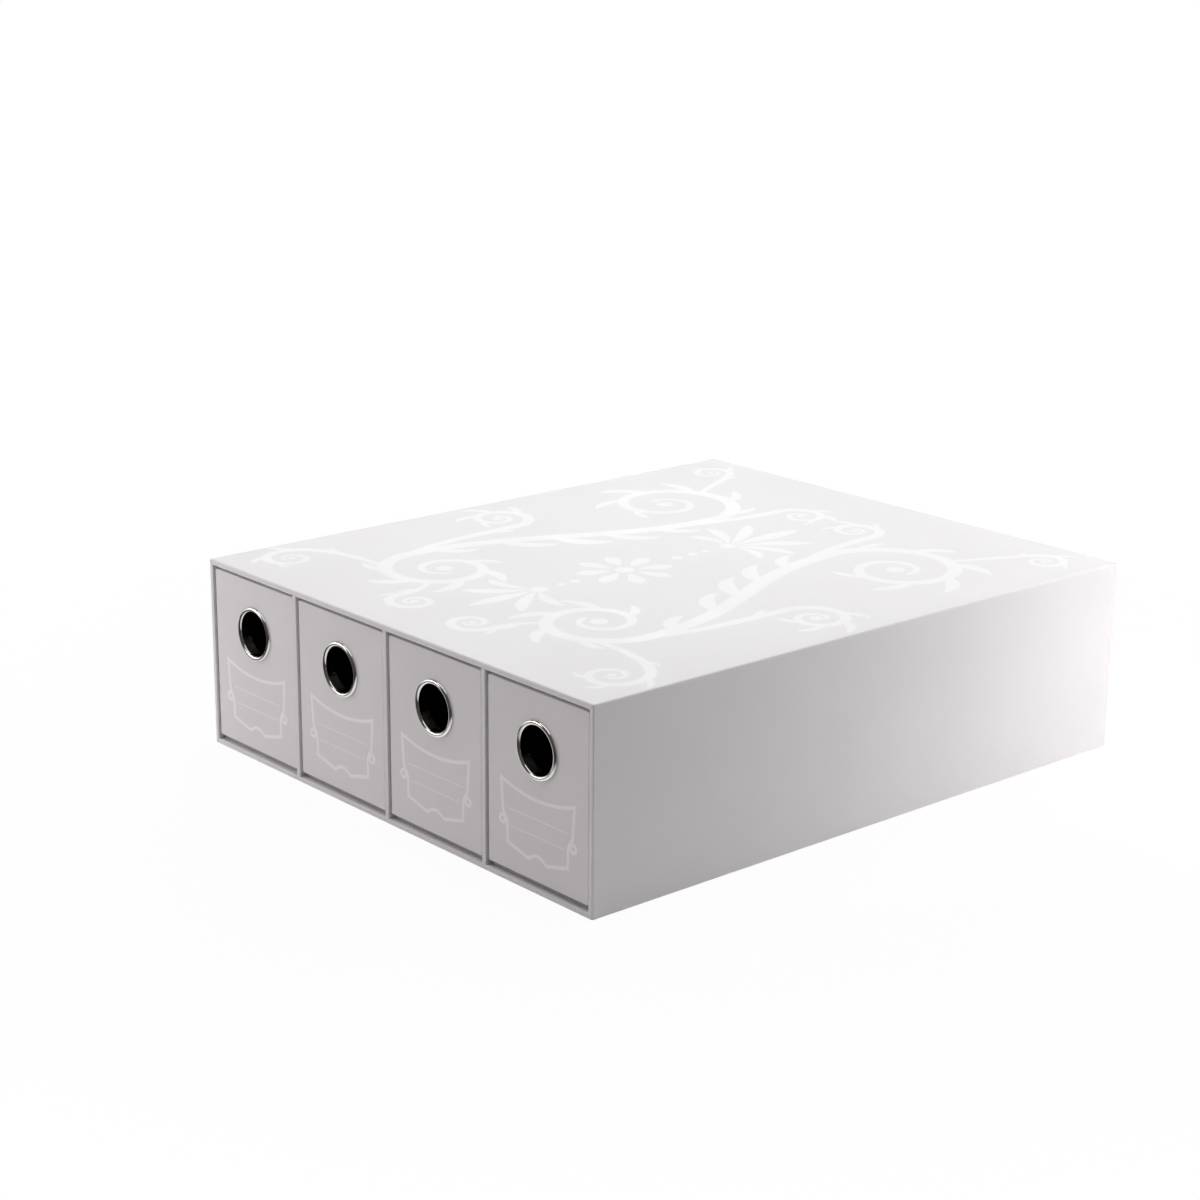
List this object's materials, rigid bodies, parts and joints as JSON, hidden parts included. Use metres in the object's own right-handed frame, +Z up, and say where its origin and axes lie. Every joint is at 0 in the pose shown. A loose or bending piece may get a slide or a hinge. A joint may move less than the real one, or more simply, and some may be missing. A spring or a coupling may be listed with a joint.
{
  "type": "trading card drawer box",
  "caption": "Low paper-covered storage box with open-top drawers side by side, each with a face board, a metal finger ring and a printed write-on panel.",
  "frame": {"origin": "on the surface that the box stands on, under the middle of its overall box", "axes": "+Z up, the drawers open towards -Y, and +X is to the right of someone who faces them"},
  "size_m": [0.3334, 0.3932, 0.11],
  "materials": {
    "cover_paper": "smooth satin printed paper",
    "bay_lining": "matte uncoated paper",
    "dark_paper": "matte black paper",
    "greyboard": "raw recycled greyboard",
    "ring_metal": "polished nickel plate"
  },
  "bodies": {
    "case": {"case_floor_board": "greyboard", "case_top_board": "greyboard", "case_left_board": "greyboard", "case_right_board": "greyboard", "case_back_board": "greyboard", "divider_1": "greyboard", "divider_2": "greyboard", "divider_3": "greyboard", "divider_edging": "cover_paper", "case_wrap": "cover_paper", "case_base_paper": "cover_paper", "case_back_paper": "cover_paper", "bay_1_lining": "bay_lining", "bay_2_lining": "bay_lining", "bay_3_lining": "bay_lining", "bay_4_lining": "bay_lining"},
    "drawer_1": {"drawer_1_face_board": "greyboard", "drawer_1_face_paper": "cover_paper", "drawer_1_floor_board": "greyboard", "drawer_1_front_board": "greyboard", "drawer_1_back_board": "greyboard", "drawer_1_left_board": "greyboard", "drawer_1_right_board": "greyboard", "drawer_1_cover_paper": "dark_paper", "drawer_1_lining": "dark_paper", "drawer_1_pull_ring": "ring_metal", "drawer_1_ring_washer": "ring_metal"},
    "drawer_2": {"drawer_2_face_board": "greyboard", "drawer_2_face_paper": "cover_paper", "drawer_2_floor_board": "greyboard", "drawer_2_front_board": "greyboard", "drawer_2_back_board": "greyboard", "drawer_2_left_board": "greyboard", "drawer_2_right_board": "greyboard", "drawer_2_cover_paper": "dark_paper", "drawer_2_lining": "dark_paper", "drawer_2_pull_ring": "ring_metal", "drawer_2_ring_washer": "ring_metal"},
    "drawer_3": {"drawer_3_face_board": "greyboard", "drawer_3_face_paper": "cover_paper", "drawer_3_floor_board": "greyboard", "drawer_3_front_board": "greyboard", "drawer_3_back_board": "greyboard", "drawer_3_left_board": "greyboard", "drawer_3_right_board": "greyboard", "drawer_3_cover_paper": "dark_paper", "drawer_3_lining": "dark_paper", "drawer_3_pull_ring": "ring_metal", "drawer_3_ring_washer": "ring_metal"},
    "drawer_4": {"drawer_4_face_board": "greyboard", "drawer_4_face_paper": "cover_paper", "drawer_4_floor_board": "greyboard", "drawer_4_front_board": "greyboard", "drawer_4_back_board": "greyboard", "drawer_4_left_board": "greyboard", "drawer_4_right_board": "greyboard", "drawer_4_cover_paper": "dark_paper", "drawer_4_lining": "dark_paper", "drawer_4_pull_ring": "ring_metal", "drawer_4_ring_washer": "ring_metal"}
  },
  "joints": [
    {"name": "drawer_1_slide", "type": "slide", "parent": "case", "child": "drawer_1", "axis": [0, -1, 0], "range_m": [0, 0.36]},
    {"name": "drawer_2_slide", "type": "slide", "parent": "case", "child": "drawer_2", "axis": [0, -1, 0], "range_m": [0, 0.36]},
    {"name": "drawer_3_slide", "type": "slide", "parent": "case", "child": "drawer_3", "axis": [0, -1, 0], "range_m": [0, 0.36]},
    {"name": "drawer_4_slide", "type": "slide", "parent": "case", "child": "drawer_4", "axis": [0, -1, 0], "range_m": [0, 0.36]}
  ]
}
